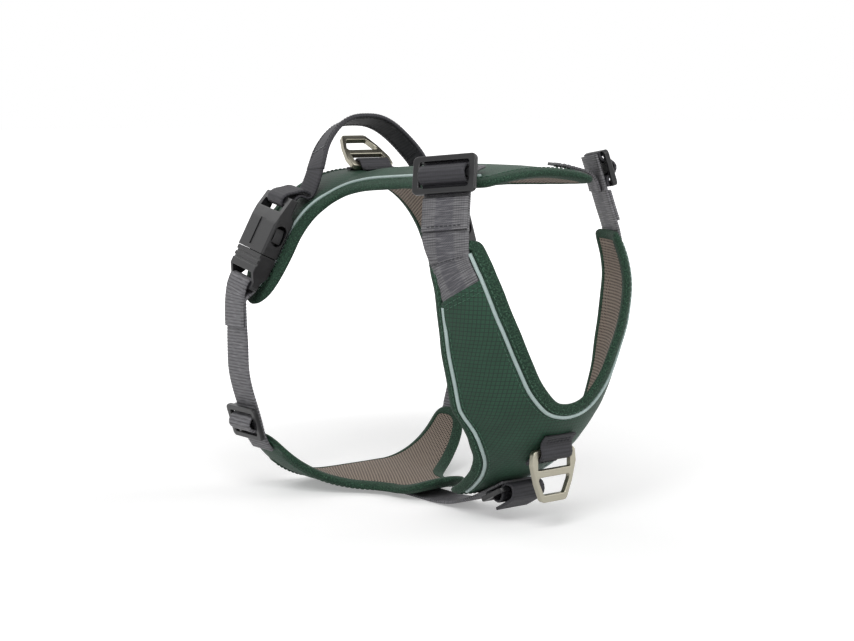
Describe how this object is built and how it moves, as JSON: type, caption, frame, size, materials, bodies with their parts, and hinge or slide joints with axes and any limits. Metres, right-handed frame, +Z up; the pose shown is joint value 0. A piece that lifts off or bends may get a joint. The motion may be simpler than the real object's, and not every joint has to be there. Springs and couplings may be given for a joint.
{
  "type": "dog harness",
  "caption": "Padded no-pull dog harness: back, chest and belly panels joined by adjustable webbing, side release buckles, grab handle, back and chest lead rings",
  "frame": {"origin": "middle of the footprint on the floor", "axes": "+X to the dog's left, -Y out of the chest panel, +Z up from the belly to the back"},
  "size_m": [0.1918, 0.2407, 0.2476],
  "materials": {
    "shell_fabric": "matte ripstop weave",
    "edge_binding": "matte knitted binding",
    "lining_mesh": "matte spacer mesh",
    "reflective_piping": "satin reflective tape",
    "webbing": "matte woven webbing",
    "hardware_plastic": "fine texture",
    "ring_metal": "satin nickel"
  },
  "bodies": {
    "harness": {"back_binding": "edge_binding", "back_lining": "lining_mesh", "back_outer": "shell_fabric", "back_piping": "reflective_piping", "belly_binding": "edge_binding", "belly_lining": "lining_mesh", "belly_outer": "shell_fabric", "buckle_female_left": "hardware_plastic", "buckle_female_right": "hardware_plastic", "centre_strap": "webbing", "centre_tail": "webbing", "chest_binding": "edge_binding", "chest_lining": "lining_mesh", "chest_outer": "shell_fabric", "chest_piping": "reflective_piping", "female_loop_left": "webbing", "female_loop_right": "webbing", "front_ring_tab": "webbing", "girth_strap_left": "webbing", "girth_strap_right": "webbing", "handle_root_left": "webbing", "handle_root_right": "webbing", "shoulder_anchor_left": "webbing", "shoulder_anchor_right": "webbing", "shoulder_webbing_left": "webbing", "shoulder_webbing_right": "webbing", "top_ring_tab": "webbing", "wing_webbing_left": "webbing", "wing_webbing_right": "webbing"},
    "buckle_male_left": {"buckle_male_left": "hardware_plastic", "male_loop_left": "webbing"},
    "front_prong_left": {"front_prong_left": "hardware_plastic"},
    "rear_prong_left": {"rear_prong_left": "hardware_plastic"},
    "shoulder_slider_left": {"shoulder_slider_left": "hardware_plastic", "shoulder_wrap_left": "webbing"},
    "girth_slider_left": {"girth_slider_left": "hardware_plastic", "girth_wrap_left": "webbing"},
    "buckle_male_right": {"buckle_male_right": "hardware_plastic", "male_loop_right": "webbing"},
    "front_prong_right": {"front_prong_right": "hardware_plastic"},
    "rear_prong_right": {"rear_prong_right": "hardware_plastic"},
    "shoulder_slider_right": {"shoulder_slider_right": "hardware_plastic", "shoulder_wrap_right": "webbing"},
    "girth_slider_right": {"girth_slider_right": "hardware_plastic", "girth_wrap_right": "webbing"},
    "back_ring": {"top_ring": "ring_metal"},
    "front_ring": {"front_ring": "ring_metal"},
    "handle": {"handle": "webbing"},
    "centre_slider": {"centre_slider": "hardware_plastic", "centre_wrap": "webbing"}
  },
  "joints": [
    {"name": "buckle_release_left", "type": "slide", "parent": "harness", "child": "buckle_male_left", "axis": [0.4006, 0.1736, -0.8997], "range_m": [0, 0.026], "deforming": ["girth_strap_left", "front_prong_left", "rear_prong_left"]},
    {"name": "front_prong_flex_left", "type": "hinge", "parent": "buckle_male_left", "child": "front_prong_left", "pos_m": [0.08139, 0.08609, 0.15822], "axis": [-0.9135, 0, -0.4067], "range_deg": [0, 11], "stiffness_Nm_per_rad": 0.25},
    {"name": "rear_prong_flex_left", "type": "hinge", "parent": "buckle_male_left", "child": "rear_prong_left", "pos_m": [0.07977, 0.10874, 0.16187], "axis": [0.9135, 0, 0.4067], "range_deg": [0, 11], "stiffness_Nm_per_rad": 0.25},
    {"name": "buckle_release_right", "type": "slide", "parent": "harness", "child": "buckle_male_right", "axis": [-0.4006, 0.1736, -0.8997], "range_m": [0, 0.026], "deforming": ["girth_strap_right", "front_prong_right", "rear_prong_right"]},
    {"name": "front_prong_flex_right", "type": "hinge", "parent": "buckle_male_right", "child": "front_prong_right", "pos_m": [-0.08139, 0.08609, 0.15822], "axis": [-0.9135, 0, 0.4067], "range_deg": [0, 11], "stiffness_Nm_per_rad": 0.25},
    {"name": "rear_prong_flex_right", "type": "hinge", "parent": "buckle_male_right", "child": "rear_prong_right", "pos_m": [-0.07977, 0.10874, 0.16187], "axis": [0.9135, 0, -0.4067], "range_deg": [0, 11], "stiffness_Nm_per_rad": 0.25},
    {"name": "back_ring_swing", "type": "hinge", "parent": "harness", "child": "back_ring", "pos_m": [0, 0.0822, 0.21345], "axis": [1, 0, 0], "range_deg": [-24, 125]},
    {"name": "front_ring_swing", "type": "hinge", "parent": "harness", "child": "front_ring", "pos_m": [0, -0.1005, 0.04725], "axis": [1, 0, 0], "range_deg": [-90, 20]},
    {"name": "handle_fold", "type": "hinge", "parent": "harness", "child": "handle", "pos_m": [0, 0.08632, 0.2119], "axis": [-1, 0, 0], "range_deg": [-84, 44], "stiffness_Nm_per_rad": 0.02, "deforming": ["handle_root_left", "handle_root_right"]},
    {"name": "shoulder_adjust_left", "type": "slide", "parent": "harness", "child": "shoulder_slider_left", "axis": [0.2201, -0.1844, -0.9579], "range_m": [0, 0.01]},
    {"name": "shoulder_adjust_right", "type": "slide", "parent": "harness", "child": "shoulder_slider_right", "axis": [-0.2201, -0.1844, -0.9579], "range_m": [0, 0.01]},
    {"name": "girth_adjust_left", "type": "slide", "parent": "harness", "child": "girth_slider_left", "axis": [0.2838, 0, 0.9589], "range_m": [0, 0.01]},
    {"name": "girth_adjust_right", "type": "slide", "parent": "harness", "child": "girth_slider_right", "axis": [-0.2838, 0, 0.9589], "range_m": [0, 0.01]},
    {"name": "centre_adjust", "type": "slide", "parent": "harness", "child": "centre_slider", "axis": [0, 0.8972, -0.4417], "range_m": [0, 0.008]}
  ]
}
